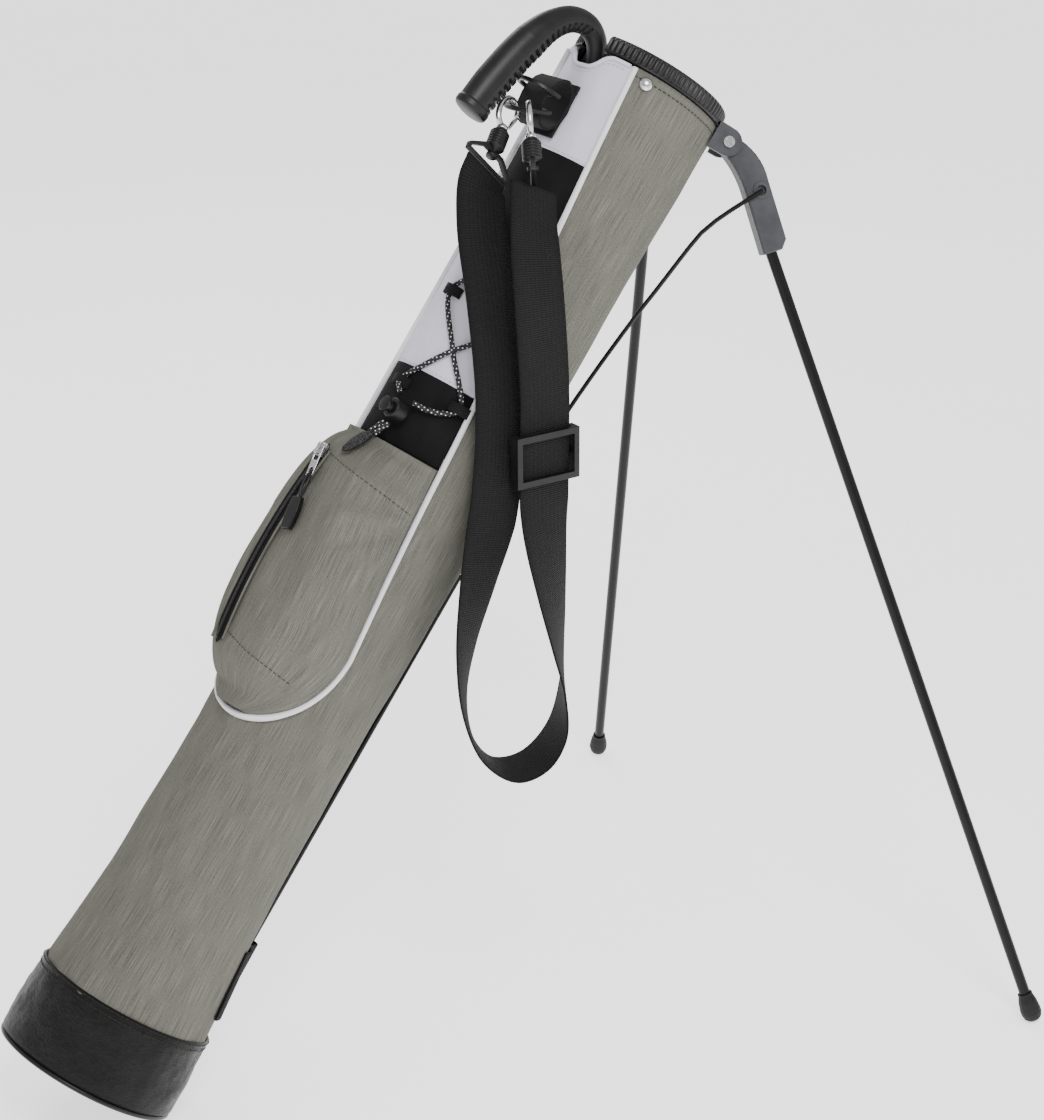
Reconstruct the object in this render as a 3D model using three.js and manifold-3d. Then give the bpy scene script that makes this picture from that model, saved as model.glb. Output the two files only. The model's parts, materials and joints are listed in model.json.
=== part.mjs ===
// A slim stand golf bag, resting on its base edge and two legs.
// The bag is modelled upright: X to the belly, -Y to the near side, Z up its length.
// One group then leans it onto the ground, with the legs towards +X.
import * as THREE from 'three';
import { mergeVertices } from 'three/addons/utils/BufferGeometryUtils.js';
import Module from 'manifold-3d';

const wasm = await Module();
wasm.setup();

// ---- driving dimensions (mm, degrees) ----
const LENGTH = 880;
const LEAN = 53;
const BASE_RADIUS = 72.5;
const BOOT_HEIGHT = 64;
const COLLAR_RADIUS = 64.5;
const COLLAR_HEIGHT = 14;
const FABRIC_TOP = LENGTH - COLLAR_HEIGHT;
const CLOTH = 2;
const GAP = 0.3;
const FOOT_X = 641.5;
const FOOT_Y = 303.7;
const FOOT_HEIGHT = 9.9;
const PIVOT = new THREE.Vector3(55, -48, 860.5);
const LEG_RADIUS = 4.5;
const PIPE_RADIUS = 2.4;
const BUNGEE_RADIUS = 2;
const WEB_WIDTH = 44;
const WEB_THICK = 2;
const ACTUATOR_X = 78;

const rad = THREE.MathUtils.degToRad;
const vec = (x, y, z) => new THREE.Vector3(x, y, z);

// ---- materials ----
const finish = (color, roughness, metalness = 0) =>
  new THREE.MeshStandardMaterial({ color, roughness, metalness });
const GREY_CLOTH = finish(0x6f7068, 0.9);
const WHITE_CLOTH = finish(0xdcd9e4, 0.85);
const BLACK_CLOTH = finish(0x17171a, 0.85);
const BLACK_HIDE = finish(0x1b1a19, 0.45);
const BLACK_PLASTIC = finish(0x1c1d1f, 0.5);
const SLATE_PLASTIC = finish(0x55575c, 0.5);
const GRIP_RUBBER = finish(0x2c2c2c, 0.5);
const BLACK_PAINT = finish(0x0b0b0c, 0.2, 0.3);
const BRIGHT_METAL = finish(0xb9bbbd, 0.25, 1);

// ---- geometry helpers ----
function outward(geometry) {
  const bare = geometry.clone();
  bare.deleteAttribute('normal');
  bare.deleteAttribute('uv');
  const merged = mergeVertices(bare.index ? bare.toNonIndexed() : bare, 1e-4);
  const place = merged.attributes.position;
  const index = merged.index.array;
  const corners = [vec(0, 0, 0), vec(0, 0, 0), vec(0, 0, 0)];
  let volume = 0;
  for (let i = 0; i < index.length; i += 3) {
    corners.forEach((corner, k) => corner.fromBufferAttribute(place, index[i + k]));
    volume += corners[0].dot(corners[1].clone().cross(corners[2]));
  }
  if (volume < 0) {
    for (let i = 0; i < index.length; i += 3) {
      [index[i], index[i + 1]] = [index[i + 1], index[i]];
    }
  }
  merged.computeVertexNormals();
  return merged;
}

function toSolid(geometry) {
  const closed = outward(geometry);
  return new wasm.Manifold(new wasm.Mesh({
    numProp: 3,
    vertProperties: new Float32Array(closed.attributes.position.array),
    triVerts: new Uint32Array(closed.index.array),
  }));
}

function fromSolid(solid) {
  const mesh = solid.getMesh();
  const geometry = new THREE.BufferGeometry();
  geometry.setAttribute('position', new THREE.BufferAttribute(mesh.vertProperties, 3));
  geometry.setIndex(new THREE.BufferAttribute(mesh.triVerts, 1));
  geometry.computeVertexNormals();
  return geometry;
}

const join = (...geometries) =>
  fromSolid(geometries.map(toSolid).reduce((all, next) => all.add(next)));
const cut = (geometry, ...tools) =>
  fromSolid(tools.map(toSolid).reduce((left, tool) => left.subtract(tool), toSolid(geometry)));

// A box of nu by nv by nw cells whose corners (0 to 1 each way) are moved by place.
function warpBox(nu, nv, nw, place) {
  const box = new THREE.BoxGeometry(1, 1, 1, nu, nv, nw);
  const points = box.attributes.position;
  for (let i = 0; i < points.count; i += 1) {
    const moved = place(points.getX(i) + 0.5, points.getY(i) + 0.5, points.getZ(i) + 0.5);
    points.setXYZ(i, moved.x, moved.y, moved.z);
  }
  return outward(box);
}

function block(x0, x1, y0, y1, z0, z1) {
  const box = new THREE.BoxGeometry(x1 - x0, y1 - y0, z1 - z0);
  return box.translate((x0 + x1) / 2, (y0 + y1) / 2, (z0 + z1) / 2);
}

function rod(from, to, radius, sides = 16) {
  const along = to.clone().sub(from);
  const cylinder = new THREE.CylinderGeometry(radius, radius, along.length(), sides);
  cylinder.applyQuaternion(new THREE.Quaternion().setFromUnitVectors(vec(0, 1, 0), along.normalize()));
  const middle = from.clone().add(to).multiplyScalar(0.5);
  return cylinder.translate(middle.x, middle.y, middle.z);
}

function roundSection(radius, sides) {
  const corners = [];
  for (let i = 0; i < sides; i += 1) {
    const turn = (2 * Math.PI * i) / sides;
    corners.push(new THREE.Vector2(radius * Math.cos(turn), radius * Math.sin(turn)));
  }
  return new THREE.Shape(corners);
}

function sweep(points, section, steps, closed = false) {
  const path = new THREE.CatmullRomCurve3(points, closed, 'centripetal');
  return outward(new THREE.ExtrudeGeometry(section, { steps, extrudePath: path, bevelEnabled: false }));
}

// A ring or solid turned about Z from an outline of [radius, height] pairs.
function turned(outline, sides) {
  const profile = outline.map(([radius, height]) => new THREE.Vector2(radius, height));
  const shape = new THREE.LatheGeometry(profile, sides);
  shape.rotateX(Math.PI / 2);
  shape.rotateZ(Math.PI / sides);
  return outward(shape);
}

const ring = (inner, outer, low, high, sides = 48) =>
  turned([[inner, low], [outer, low], [outer, high], [inner, high], [inner, low]], sides);

// An outline in the XZ plane given thickness along Y, centred on y = 0.
function plate(shape, thickness, bevel = 0) {
  const body = new THREE.ExtrudeGeometry(shape, {
    depth: thickness - 2 * bevel,
    curveSegments: 8,
    bevelEnabled: bevel > 0,
    bevelThickness: bevel,
    bevelSize: bevel,
    bevelOffset: -bevel,
    bevelSegments: 1,
  });
  return body.translate(0, 0, bevel - thickness / 2).rotateX(Math.PI / 2);
}

const mirrored = (geometry) => outward(geometry.clone().scale(1, -1, 1));

function along(table, at) {
  const last = table.length - 1;
  if (at <= table[0][0]) return table[0][1];
  if (at >= table[last][0]) return table[last][1];
  const k = table.findIndex(([key]) => key > at) - 1;
  const share = (at - table[k][0]) / (table[k + 1][0] - table[k][0]);
  return table[k][1] + share * (table[k + 1][1] - table[k][1]);
}

// ---- the bag's own surface ----
const OUTER_RADIUS = [[0, 70], [64, 70], [150, 62.5], [280, 60], [460, 61], [700, 61.5], [866, 63.5]];
const NEAR_EDGE = [[375, 72], [470, 64.5], [575, 60], [720, 50], [800, 44.5], [866, 40.5]];
const SPINE_LINE = [[375, 14], [575, 8], [866, 1]];
const clothRadius = (s) => along(OUTER_RADIUS, s);
const nearEdge = (s) => along(NEAR_EDGE, s);
const farEdge = (s) => 2 * along(SPINE_LINE, s) - nearEdge(s);

// phi turns from the spine (0) to the near side (90) and the belly (180).
const onBag = (phi, s, lift = 0) => {
  const r = clothRadius(s) + lift;
  return vec(-r * Math.cos(rad(phi)), -r * Math.sin(rad(phi)), s);
};

// Every panel is bent along the same rows, so that neighbours meet along their seams.
const ROWS = [64, 150, 280, 375, 460, 534, 590, 700, 781, 850, 866];

function clothPanel(phiFrom, phiTo, low, high, across) {
  const rows = [low, ...ROWS.filter((row) => row > low + 1 && row < high - 1), high];
  return warpBox(across, 1, rows.length - 1, (u, v, w) => {
    const s = rows[Math.round(w * (rows.length - 1))];
    const phi = phiFrom(s) + u * (phiTo(s) - phiFrom(s));
    return onBag(phi, s, (v - 1) * CLOTH);
  });
}

const bag = new THREE.Group();
const group = new THREE.Group();
group.add(bag);

function add(name, geometry, material, parent = bag) {
  const mesh = new THREE.Mesh(outward(geometry), material.clone());
  mesh.name = name;
  parent.add(mesh);
  return mesh;
}

function buildCloth() {
  const seam = 0.25;
  const nearSeam = (s) => nearEdge(s) + seam;
  const farSeam = (s) => farEdge(s) - seam;
  const low = BOOT_HEIGHT + GAP;
  add('panel_near', clothPanel(nearSeam, () => 179.8, low, FABRIC_TOP, 9), GREY_CLOTH);
  add('panel_far', clothPanel(() => -179.8, farSeam, low, FABRIC_TOP, 12), GREY_CLOTH);
  const bands = [
    ['panel_lower_back', low, 534, GREY_CLOTH],
    ['panel_black_band', 534, 590, BLACK_CLOTH],
    ['panel_white_lower', 590, 700, WHITE_CLOTH],
    ['panel_black_upper', 700, 781, BLACK_CLOTH],
    ['panel_white_top', 781, 850, WHITE_CLOTH],
  ];
  for (const [name, from, to, material] of bands) {
    add(name, clothPanel(farEdge, nearEdge, from + GAP / 2, to - GAP / 2, 10), material);
  }
}

const U_TOP = 375;
const U_DROP = 76;
const U_MIDDLE = along(SPINE_LINE, 0);
const U_HALF = nearEdge(0) - U_MIDDLE;

function buildPiping() {
  const lift = PIPE_RADIUS + 3 * GAP;
  const points = [];
  for (let s = FABRIC_TOP - 3; s > 380; s -= 60) {
    points.push(onBag(nearEdge(s), s, lift));
  }
  for (let turn = 0; turn <= 180; turn += 18) {
    const phi = U_MIDDLE + U_HALF * Math.cos(rad(turn));
    points.push(onBag(phi, U_TOP - U_DROP * Math.sin(rad(turn)), lift));
  }
  for (let s = FABRIC_TOP - 3 - 60 * 8; s < FABRIC_TOP; s += 60) {
    points.push(onBag(farEdge(s), s, lift));
  }
  add('spine_piping', sweep(points, roundSection(PIPE_RADIUS, 6), 52), WHITE_CLOTH);
}

function buildBase() {
  const inner = BASE_RADIUS - 6;
  add('base_cup', turned([
    [0, 0.6], [BASE_RADIUS - 8, 0.6], [BASE_RADIUS - 3, 0], [BASE_RADIUS, 0], [BASE_RADIUS, 3.5],
    [inner, 5], [inner - 2, 40], [inner - 4.5, 40], [inner - 5, 6], [0, 6],
  ], 36), BLACK_PLASTIC);
  add('base_boot', turned([
    [inner + 0.4, 5.5], [BASE_RADIUS - 0.4, 4.2], [BASE_RADIUS, 9], [71.6, 35],
    [70.5, BOOT_HEIGHT], [67.5, BOOT_HEIGHT], [inner + 0.4, 5.5],
  ], 36), BLACK_HIDE);
}

const HANDLE_ROUTE = [
  [-52, 838], [-53, 856], [-62, 871], [-76, 877], [-92, 873],
  [-106, 859], [-117, 834], [-125, 803], [-131, 770],
];

function buildHandle() {
  const path = HANDLE_ROUTE.map(([x, s]) => vec(x, 0, s));
  const girth = [[0, 7], [0.3, 9], [0.45, 11], [0.6, 14], [0.85, 14.5], [0.97, 13.5], [1, 11]];
  const curve = new THREE.CatmullRomCurve3(path, false, 'centripetal');
  const sides = 12;
  const steps = 24;
  const grip = new THREE.CylinderGeometry(1, 1, 1, sides, steps);
  const points = grip.attributes.position;
  for (let i = 0; i < points.count; i += 1) {
    const t = 0.5 - points.getY(i);
    const tangent = curve.getTangent(t);
    const across = vec(-tangent.z, 0, tangent.x);
    const size = along(girth, t);
    const at = curve.getPoint(t);
    at.addScaledVector(across, points.getX(i) * size);
    at.y += points.getZ(i) * size * 0.88;
    points.setXYZ(i, at.x, at.y, at.z);
  }
  add('handle_grip', grip, GRIP_RUBBER);
  add('handle_screw', rod(vec(-41.2, 0, 848), vec(-38.6, 0, 848), 3.2, 12), BRIGHT_METAL);
}

function ribbedRing(ribs) {
  const outline = [];
  for (let i = 0; i < ribs; i += 1) {
    for (const [share, depth] of [[0, 0], [0.6, 0], [0.8, 1.1]]) {
      const turn = (2 * Math.PI * (i + share)) / ribs;
      const r = COLLAR_RADIUS - depth;
      outline.push(new THREE.Vector2(r * Math.cos(turn), r * Math.sin(turn)));
    }
  }
  const shape = new THREE.Shape(outline);
  shape.holes.push(new THREE.Path().absarc(0, 0, 58, 0, 2 * Math.PI, true));
  const band = new THREE.ExtrudeGeometry(shape, { depth: 11.5, curveSegments: 16, bevelEnabled: false });
  return band.translate(0, 0, FABRIC_TOP + 1.8);
}

function buildCollar() {
  const body = join(
    ribbedRing(48),
    ring(56, 60.3, 826, FABRIC_TOP + 2, 32),
    ring(56, COLLAR_RADIUS - 0.4, FABRIC_TOP + GAP, FABRIC_TOP + 2, 32),
    ring(56, COLLAR_RADIUS - 1, LENGTH - 2, LENGTH, 32),
  );
  const notch = block(-80, -40, -14, 14, 834, 900);
  const slim = cut(body, notch, ring(60.9, 90, 800, FABRIC_TOP + GAP * 0.5, 32));
  add('collar', slim, BLACK_PLASTIC);
  add('handle_mount', join(
    block(-44.2, -41.5, -13.5, 13.5, 836, 866),
    block(-57, -41.5, -13.5, -9, 836, 866),
    block(-57, -41.5, 9, 13.5, 836, 866),
  ), BLACK_PLASTIC);
}

function buildRivets() {
  const dome = (phi) => {
    const s = 857;
    const out = onBag(phi, s).setZ(0).normalize();
    const head = turned([[0, -0.5], [5, -0.5], [5, 0.2], [4.2, 1.8], [2.6, 2.6], [0, 2.9]], 16);
    head.applyQuaternion(new THREE.Quaternion().setFromUnitVectors(vec(0, 0, 1), out));
    const at = onBag(phi, s, 0.9);
    return head.translate(at.x, at.y, at.z);
  };
  add('rivet_near', dome(52), BRIGHT_METAL);
  add('rivet_far', dome(-48), BRIGHT_METAL);
}

function buildStayRod() {
  const x = 56;
  add('stay_rod', rod(vec(x, 0, 44), vec(x - 1.5, 0, 824), 2.5, 10), BLACK_PLASTIC);
}

// ---- legs ----
// w is the level direction away from the bag in the near leg's plane of swing.
const lean = rad(LEAN);
const toBag = (p) => {
  const x = p.x + BASE_RADIUS * Math.sin(lean);
  const z = p.z - BASE_RADIUS * Math.cos(lean);
  return vec(x * Math.sin(lean) - z * Math.cos(lean), p.y, x * Math.cos(lean) + z * Math.sin(lean));
};
const FOOT = toBag(vec(FOOT_X, -FOOT_Y, FOOT_HEIGHT));
const W = FOOT.clone().sub(PIVOT).setZ(0).normalize();
const HINGE = vec(-W.y, W.x, 0);
const legFrame = new THREE.Matrix4().makeBasis(W, HINGE, vec(0, 0, 1)).setPosition(PIVOT);
const inLeg = (w, z, t = 0) => vec(w, t, z);
const TUBE_TOP = inLeg(46.2, -28.8);
const WIRE_HOLE = [42.2, -17.3];
const HEAD_HALF = 7.5;
const KNUCKLE = 7.6;

function headOutline() {
  const shape = new THREE.Shape();
  shape.moveTo(2, KNUCKLE - 0.2);
  shape.quadraticCurveTo(28, 8.5, 43.5, -7.5);
  shape.lineTo(79, -38.5);
  shape.lineTo(80.5, -47);
  shape.lineTo(70, -58.5);
  shape.lineTo(34, -26.5);
  shape.quadraticCurveTo(19, -13, 0, -KNUCKLE);
  shape.absarc(0, 0, KNUCKLE, -Math.PI / 2, rad(-285), true);
  return shape;
}

function nearLegPieces() {
  const foot = FOOT.clone().applyMatrix4(legFrame.clone().invert());
  const axis = foot.clone().sub(TUBE_TOP).normalize();
  const bore = rod(TUBE_TOP.clone().addScaledVector(axis, -1), foot, LEG_RADIUS + GAP, 20);
  const boss = (r, t0, t1) => rod(inLeg(...WIRE_HOLE, t0), inLeg(...WIRE_HOLE, t1), r, 20);
  const pinHole = rod(inLeg(0, 0, -20), inLeg(0, 0, 20), 2.9, 20);
  const head = cut(
    join(plate(headOutline(), 2 * HEAD_HALF, 1.2), boss(6.5, -HEAD_HALF - 1.2, 0)),
    bore, pinHole, boss(4, -HEAD_HALF - 3, -HEAD_HALF + 2.5),
  );
  const tubeEnd = foot.clone().addScaledVector(axis, -6);
  const profile = [[0, -9], [4.8, -8.6], [7.2, -6.4], [8.5, -2.2], [8.5, 1.5], [7.6, 8], [6.2, 13], [6, 15.5], [0, 15.5]];
  const bulb = turned(profile, 14);
  bulb.applyQuaternion(new THREE.Quaternion().setFromUnitVectors(vec(0, 0, -1), axis));
  bulb.translate(foot.x, foot.y, foot.z);
  const socket = rod(foot.clone().addScaledVector(axis, -30), foot.clone().addScaledVector(axis, -5.7), 4.8, 20);
  const ear = (t0, t1) => {
    const shape = new THREE.Shape();
    shape.moveTo(-26, -12);
    shape.lineTo(0, -11);
    shape.absarc(0, 0, 11, -Math.PI / 2, Math.PI / 2.2, false);
    shape.lineTo(-26, 11);
    return plate(shape, t1 - t0).translate(0, (t0 + t1) / 2, 0);
  };
  const reach = HEAD_HALF + 0.5;
  const bracket = join(
    ear(-reach - 3.4, -reach), ear(reach, reach + 3.4),
    block(-26, 2, -reach - 3.4, reach + 3.4, KNUCKLE + 0.5, 11),
  );
  const pin = join(
    rod(inLeg(0, 0, -reach - 5), inLeg(0, 0, reach + 5), 2.6, 20),
    rod(inLeg(0, 0, -reach - 6), inLeg(0, 0, -reach - 3.7), 4.4, 20),
    rod(inLeg(0, 0, reach + 3.7), inLeg(0, 0, reach + 6), 4.4, 20),
  );
  return {
    head,
    tube: rod(TUBE_TOP, tubeEnd, LEG_RADIUS, 20),
    foot: cut(bulb, socket),
    bracket: cut(bracket, pinHole),
    pin,
  };
}

function buildLegs() {
  const made = nearLegPieces();
  const wrap = new THREE.CylinderGeometry(65.2, 65.2, 90, 96).rotateX(Math.PI / 2).translate(0, 0, 850);
  const place = (geometry) => geometry.applyMatrix4(legFrame);
  const bracket = cut(place(made.bracket), wrap);
  const parts = [
    ['leg_head', place(made.head), SLATE_PLASTIC],
    ['leg_tube', place(made.tube), BLACK_PAINT],
    ['leg_foot', place(made.foot), GRIP_RUBBER],
    ['leg_bracket', bracket, SLATE_PLASTIC],
    ['leg_pin', place(made.pin), BRIGHT_METAL],
  ];
  for (const [name, geometry, material] of parts) {
    add(`${name}_near`, geometry, material);
    add(`${name}_far`, mirrored(geometry), material);
  }
}

function buildActuator() {
  const yokeTop = 492;
  const x = ACTUATOR_X;
  add('actuator_rod', rod(vec(x, 0, 20), vec(x, 0, yokeTop - 20 - GAP), 2.5, 12), BLACK_PAINT);
  add('actuator_foot', cut(
    join(rod(vec(x, 0, 12), vec(x, 0, 34), 4.4, 16), new THREE.SphereGeometry(4.4, 12, 8).translate(x, 0, 12)),
    rod(vec(x, 0, 20 - GAP), vec(x, 0, 60), 2.8, 16),
  ), GRIP_RUBBER);
  add('actuator_yoke', cut(
    block(x - 5.5, x + 5.5, -13.5, 13.5, yokeTop - 20, yokeTop),
    block(x - 3.8, x + 3.8, -12, -4.8, yokeTop - 15, yokeTop + 1),
    block(x - 3.8, x + 3.8, 4.8, 12, yokeTop - 15, yokeTop + 1),
  ), BLACK_PLASTIC);
  const end = inLeg(...WIRE_HOLE, -HEAD_HALF - 4.2).applyMatrix4(legFrame);
  const route = [
    vec(x, -8.4, yokeTop - 12), vec(78.5, -10, 530), vec(78.5, -14.5, 620),
    vec(80, -26.5, 707), vec(77.5, -38, 742), vec(73, -50, 770), vec(70, -60, 792), vec(73, -66.5, 808), end,
  ];
  const wire = sweep(route, roundSection(1.8, 8), 26);
  add('wire_near', wire, BLACK_PAINT);
  add('wire_far', mirrored(wire), BLACK_PAINT);
}

function buildRetainer() {
  const overRod = ACTUATOR_X + 3.6;
  add('retainer_band', warpBox(22, 1, 2, (u, v, w) => {
    const phi = 113 + u * 134;
    const s = 86 + w * 56;
    const bump = Math.exp(-(((phi - 180) / 13) ** 2));
    return onBag(phi, s, 0.8 + bump * (overRod - 0.8 - clothRadius(s)) + v * 1.8);
  }), BLACK_CLOTH);
}

// ---- pocket and zipper ----
const ZIP = { x: 91, y: -326, s: 423, radius: 337, half: 14 };
const onZip = (turn, radius = ZIP.radius, x = ZIP.x) =>
  vec(-x, ZIP.y + radius * Math.cos(rad(turn)), ZIP.s + radius * Math.sin(rad(turn)));

function buildPocket() {
  const swell = (t, power) => Math.sin(Math.PI * (0.02 + 0.96 * t)) ** power;
  add('pocket', warpBox(12, 1, 9, (u, v, w) => {
    const s = 326 + w * 192;
    const round = Math.sqrt(1 - (Math.max(U_TOP - s, 0) / U_DROP) ** 2);
    const middle = along(SPINE_LINE, s);
    const half = (nearEdge(s) - middle) * round - 6;
    const phi = middle + (2 * u - 1) * half;
    const lift = 0.8 + v * (1.2 + 45 * swell(u, 0.6) * swell(w, 0.3));
    const point = onBag(phi, s, lift);
    point.x = Math.max(point.x, -(ZIP.x - 1.2));
    return point;
  }), GREY_CLOTH);
  add('zipper_tape', warpBox(20, 1, 1, (u, v, w) => {
    const turn = (2 * u - 1) * (ZIP.half + 0.5);
    return onZip(turn, ZIP.radius - 6 + 12 * w, ZIP.x - 0.9 + 1.5 * v);
  }), BLACK_CLOTH);
}

function buildSlider() {
  const at = onZip(ZIP.half - 0.5);
  const face = -ZIP.x - 0.9;
  add('zip_slider', join(
    block(face - 2.6, face, at.y - 4.5, at.y + 4.5, at.z - 6, at.z + 5),
    block(face - 6.4, face - 4.8, at.y - 1.8, at.y + 1.8, at.z - 5, at.z + 4),
    block(face - 6.4, face - 2, at.y - 1.8, at.y + 1.8, at.z - 5, at.z - 3.6),
    block(face - 6.4, face - 2, at.y - 1.8, at.y + 1.8, at.z + 2.6, at.z + 4),
  ), BRIGHT_METAL);
  const hang = new THREE.Group();
  hang.position.set(face - 3.7, at.y, at.z - 1);
  hang.rotation.set(rad(-14), 0, 0);
  bag.add(hang);
  const corners = (list) => list.map(([a, b]) => new THREE.Vector2(a, b));
  const tag = new THREE.Shape(corners([[-4.8, 2.4], [4.8, 2.4], [3.6, -24], [-3.6, -24]]));
  tag.holes.push(new THREE.Path(corners([[-2.8, 1.2], [-2.8, -9], [2.8, -9], [2.8, 1.2]])));
  tag.holes.push(new THREE.Path(corners([[-2, -15], [-2, -21], [2, -21], [2, -15]])));
  const flat = new THREE.ExtrudeGeometry(tag, { depth: 1, bevelEnabled: false }).translate(0, 0, -0.5);
  flat.rotateX(Math.PI / 2).rotateZ(Math.PI / 2);
  add('zip_puller', flat, BRIGHT_METAL, hang);
  const loop = [vec(0, 0, -18), vec(-2.6, 1, -22), vec(-1.4, 2, -32), vec(0, 2, -39)];
  add('pull_cord', sweep(loop, roundSection(1.2, 8), 12), BLACK_CLOTH, hang);
  add('pull_tab', warpBox(4, 2, 5, (u, v, w) => {
    const swell = 0.75 + 0.25 * Math.sin(Math.PI * w);
    return vec((v - 0.5) * 4.4, (u - 0.5) * 13 * swell + 2, -39.4 - 26 * w);
  }), BLACK_PLASTIC, hang);
}

// ---- bungee ----
const LOOPS = [[52, 577], [1, 654], [43, 700], [47, 640], [1, 576]];
const LOCK = onBag(18, 554, 12);

function buildBungee() {
  const lift = 4.4;
  const out = [onBag(24, 565, 9.5), onBag(32, 565, lift + 2), onBag(44, 569, lift)];
  const laced = LOOPS.map(([phi, s]) => onBag(phi, s, lift));
  const between = [];
  laced.forEach((point, k) => {
    const [phi, s] = LOOPS[k];
    between.push(point);
    const next = LOOPS[k + 1];
    if (next) between.push(onBag((phi + next[0]) / 2, (s + next[1]) / 2, lift));
  });
  const back = [onBag(6, 572, lift + 3), onBag(12, 567, 9.5)];
  const route = [...out, ...between, ...back];
  add('bungee_cord', sweep(route, roundSection(BUNGEE_RADIUS, 8), 52), BLACK_CLOTH);
  LOOPS.forEach(([phi, s], k) => {
    add(`bungee_loop_${k + 1}`, warpBox(2, 1, 1, (u, v, w) =>
      onBag(phi - 5 + 10 * u, s - 5 + 10 * w, GAP + 1.2 * v)), BLACK_CLOTH);
  });
  const tail = [onBag(16.5, 542.5, 12.5), onBag(15.5, 537, 15.5), onBag(14.5, 533.5, 18)];
  add('bungee_tail', sweep(tail, roundSection(3, 8), 8), BLACK_CLOTH);
  add('bungee_end', warpBox(3, 1, 3, (u, v, w) =>
    onBag(10.5 + 8 * u - 1.5 * w, 529.5 - 21 * w, 18 + 14 * w + 4 * v)), BLACK_CLOTH);
}

function buildCordLock() {
  const body = turned([[0, 0], [7.5, 0], [8.5, 2], [8.5, 10], [7.5, 12], [4.6, 12], [4.6, 1.5], [0, 1.5]], 20);
  const button = turned([[0, 6], [4.2, 6], [4.2, 16.5], [6, 16.5], [6, 19], [0, 20]], 20);
  const turn = new THREE.Group();
  turn.position.copy(LOCK);
  turn.rotation.set(0, rad(-90), rad(18));
  turn.translateZ(-6);
  bag.add(turn);
  add('lock_body', body, BLACK_PLASTIC, turn);
  add('lock_button', button, BLACK_PLASTIC, turn);
}

// ---- carry strap and its hardware, in upright-bag or ground coordinates ----
const ground = new THREE.Group();
group.add(ground);

const STRAP_ROUTE = [
  [299.5, -25.6, 699.3], [292, -31, 691], [284, -43, 664], [282, -58, 614], [280, -72, 540],
  [271, -77, 460], [255, -78, 400], [243, -79, 350], [240, -80, 305], [250, -81, 265],
  [275, -82, 240], [303, -83, 241], [323, -84, 262], [328, -85, 300], [323, -86, 340],
  [316, -86, 390], [310, -86, 440], [310, -86, 492], [310, -86, 545], [309, -81, 610], [314, -68, 652],
  [323, -53, 677], [327.3, -47, 687.2],
];

function webSection(width) {
  const x = WEB_THICK / 2;
  const y = width / 2;
  const slope = 0.4;
  return new THREE.Shape([
    [-x, slope - y], [slope - x, -y], [x - slope, -y], [x, slope - y],
    [x, y - slope], [x - slope, y], [slope - x, y], [-x, y - slope],
  ].map(([a, b]) => new THREE.Vector2(a, b)));
}

// The webbing hangs flat at both ends and turns over once, evenly, round the bottom of its loop.
const TURN_OVER = { from: 0.273, to: 0.753 };

function levelFrames(curve, steps) {
  const frames = { tangents: [], normals: [], binormals: [] };
  for (let i = 0; i <= steps; i += 1) {
    const tangent = curve.getTangentAt(i / steps);
    const across = tangent.clone().cross(vec(0, 1, 0)).normalize();
    const share = (i / steps - TURN_OVER.from) / (TURN_OVER.to - TURN_OVER.from);
    across.applyAxisAngle(tangent, -Math.PI * Math.min(1, Math.max(0, share)));
    frames.tangents.push(tangent);
    frames.normals.push(across.clone().cross(tangent).normalize());
    frames.binormals.push(across);
  }
  return frames;
}

function buildStrap() {
  const route = new THREE.CatmullRomCurve3(STRAP_ROUTE.map(([x, y, z]) => vec(x, y, z)), false, 'centripetal');
  route.computeFrenetFrames = (steps) => levelFrames(route, steps);
  const webbing = new THREE.ExtrudeGeometry(webSection(WEB_WIDTH), {
    steps: 54, extrudePath: route, bevelEnabled: false,
  });
  add('strap', webbing, BLACK_CLOTH, ground);
  const c = vec(310, -86, 492);
  const frontY = c.y - 3.6;
  add('tri_glide', join(
    block(c.x - 28, c.x - 23.4, frontY - 2.2, c.y + 4.6, c.z - 20, c.z + 20),
    block(c.x + 23.4, c.x + 28, frontY - 2.2, c.y + 4.6, c.z - 20, c.z + 20),
    block(c.x - 28, c.x + 28, frontY - 2.2, frontY + 1.8, c.z - 20, c.z - 15),
    block(c.x - 28, c.x + 28, frontY - 2.2, frontY + 1.8, c.z + 15, c.z + 20),
    block(c.x - 28, c.x + 28, c.y + 1.8, c.y + 4.6, c.z - 3, c.z + 3),
  ), BLACK_PLASTIC, ground);
}

function eyeShape() {
  const half = WEB_WIDTH / 2 + 3;
  const corners = (list) => list.map(([a, b]) => new THREE.Vector2(a, b));
  const outer = new THREE.Shape(corners([[-half, 0], [half, 0], [half, 6], [10, 17], [-10, 17], [-half, 6]]));
  const inner = half - 3;
  outer.holes.push(new THREE.Path(corners([[-inner, 3], [-inner, 5], [-9, 13.5], [9, 13.5], [inner, 5], [inner, 3]])));
  return outer;
}

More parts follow.
